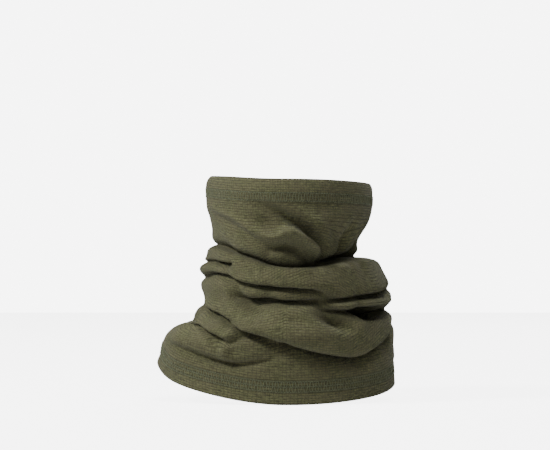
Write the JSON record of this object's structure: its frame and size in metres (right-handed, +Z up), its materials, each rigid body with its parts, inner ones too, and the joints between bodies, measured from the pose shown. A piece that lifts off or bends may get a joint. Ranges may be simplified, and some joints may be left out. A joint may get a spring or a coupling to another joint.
{
  "type": "neck gaiter",
  "caption": "Stretch grid-fleece tube worn slouched round the neck, with turned and coverstitched hems, a flat back seam and a blank inside label.",
  "frame": {"origin": "on the neck's axis, level with the lowest point of the bottom hem, where the neck passes through", "axes": "+Z up along the neck to the face opening, -Y the way the face looks, +X the viewer's right when the front is seen"},
  "size_m": [0.2369, 0.1828, 0.2222],
  "materials": {
    "grid_fleece": "matte",
    "hem_fleece": "matte",
    "polyester_thread": "satin",
    "label_satin": "satin"
  },
  "bodies": {
    "worn_tube": {"tube_panel": "grid_fleece", "bottom_hem": "hem_fleece", "bottom_needle_thread_lower": "polyester_thread", "bottom_needle_thread_middle": "polyester_thread", "bottom_needle_thread_upper": "polyester_thread", "bottom_cover_thread_lower": "polyester_thread", "bottom_cover_thread_upper": "polyester_thread", "bottom_looper_thread": "polyester_thread", "back_seam_needle_thread_left": "polyester_thread", "back_seam_needle_thread_right": "polyester_thread", "back_seam_cover_thread": "polyester_thread", "back_seam_looper_thread": "polyester_thread", "care_label": "label_satin"},
    "top_band": {"top_hem": "hem_fleece", "top_needle_thread_upper": "polyester_thread", "top_needle_thread_lower": "polyester_thread", "top_cover_thread": "polyester_thread", "top_looper_thread": "polyester_thread"}
  },
  "joints": [
    {"name": "top_band_pull", "type": "slide", "parent": "worn_tube", "child": "top_band", "axis": [0, 0, 1], "range_m": [-0.03, 0.06], "deforming": ["tube_panel", "back_seam_needle_thread_left", "back_seam_needle_thread_right", "back_seam_cover_thread", "back_seam_looper_thread"]}
  ]
}
